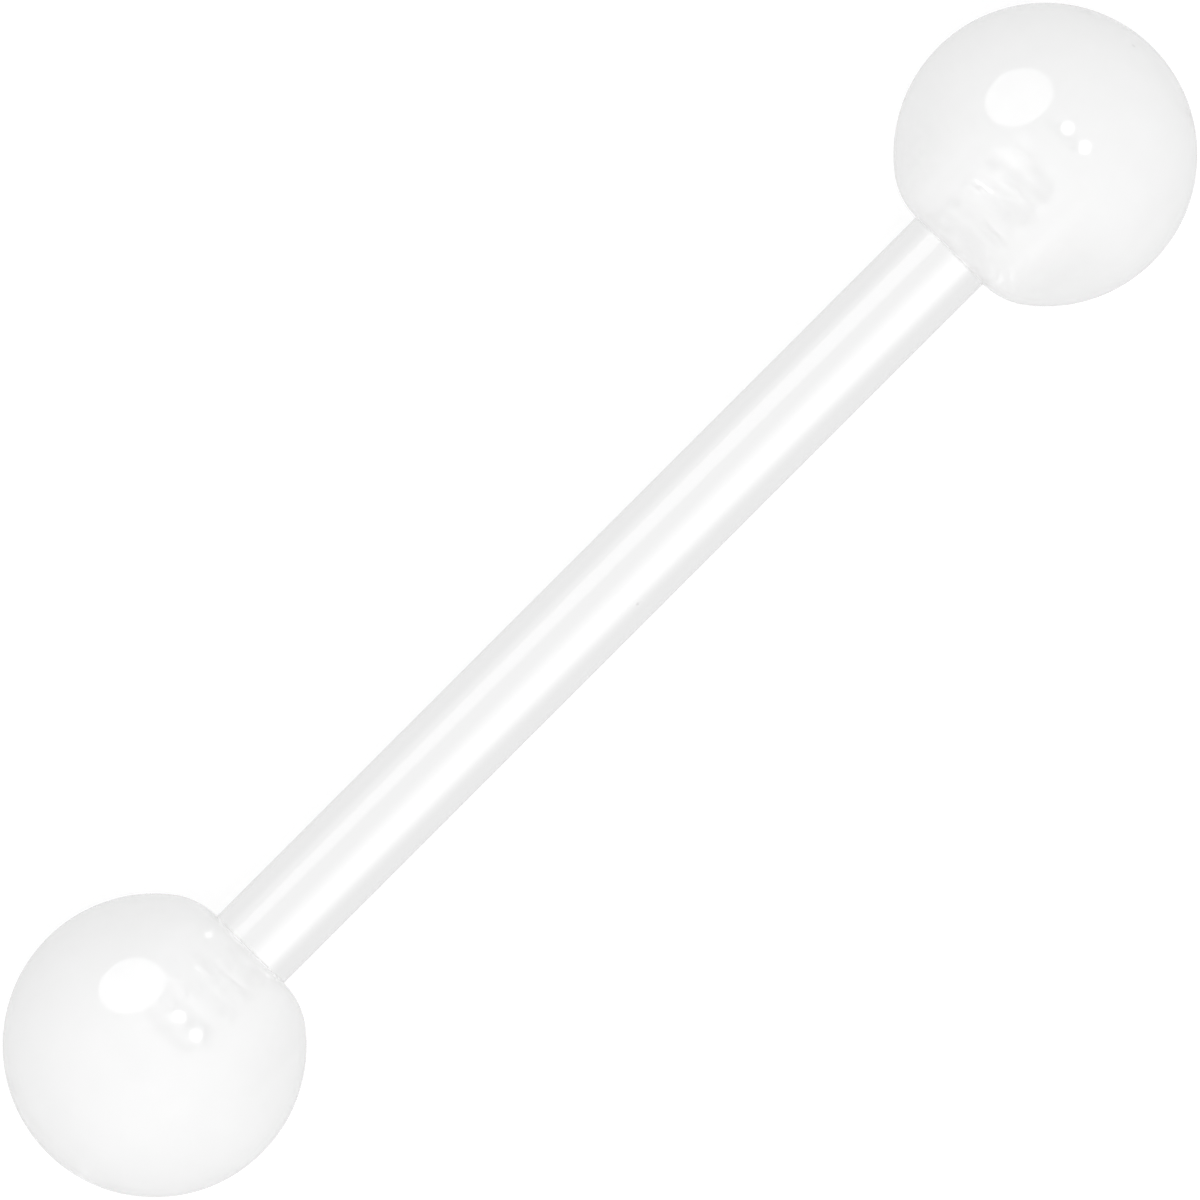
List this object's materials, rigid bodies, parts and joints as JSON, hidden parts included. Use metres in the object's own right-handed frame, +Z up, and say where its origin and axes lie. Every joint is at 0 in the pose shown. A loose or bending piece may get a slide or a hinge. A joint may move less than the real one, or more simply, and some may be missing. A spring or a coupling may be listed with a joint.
{
  "type": "tongue barbell",
  "caption": "Straight translucent barbell for a tongue piercing: a slim round bar between two milky balls that screw onto its threaded ends.",
  "frame": {"origin": "under the middle of the bar, on the surface that both balls rest on", "axes": "+X along the bar, from the left ball to the right ball; +Z up from the surface; +Y completes the right-handed set"},
  "size_m": [0.0256, 0.005, 0.005],
  "materials": {
    "clear_bar": "polished, whitish and half clear",
    "milky_ball": "polished, milky and translucent"
  },
  "bodies": {
    "bar": {"bar": "clear_bar"},
    "left_ball": {"left_ball": "milky_ball"},
    "right_ball": {"right_ball": "milky_ball"}
  },
  "joints": [
    {"name": "left_ball_unscrew", "type": "slide", "parent": "bar", "child": "left_ball", "axis": [-1, 0, 0], "range_m": [0, 0.014]},
    {"name": "right_ball_unscrew", "type": "slide", "parent": "bar", "child": "right_ball", "axis": [1, 0, 0], "range_m": [0, 0.014]}
  ]
}
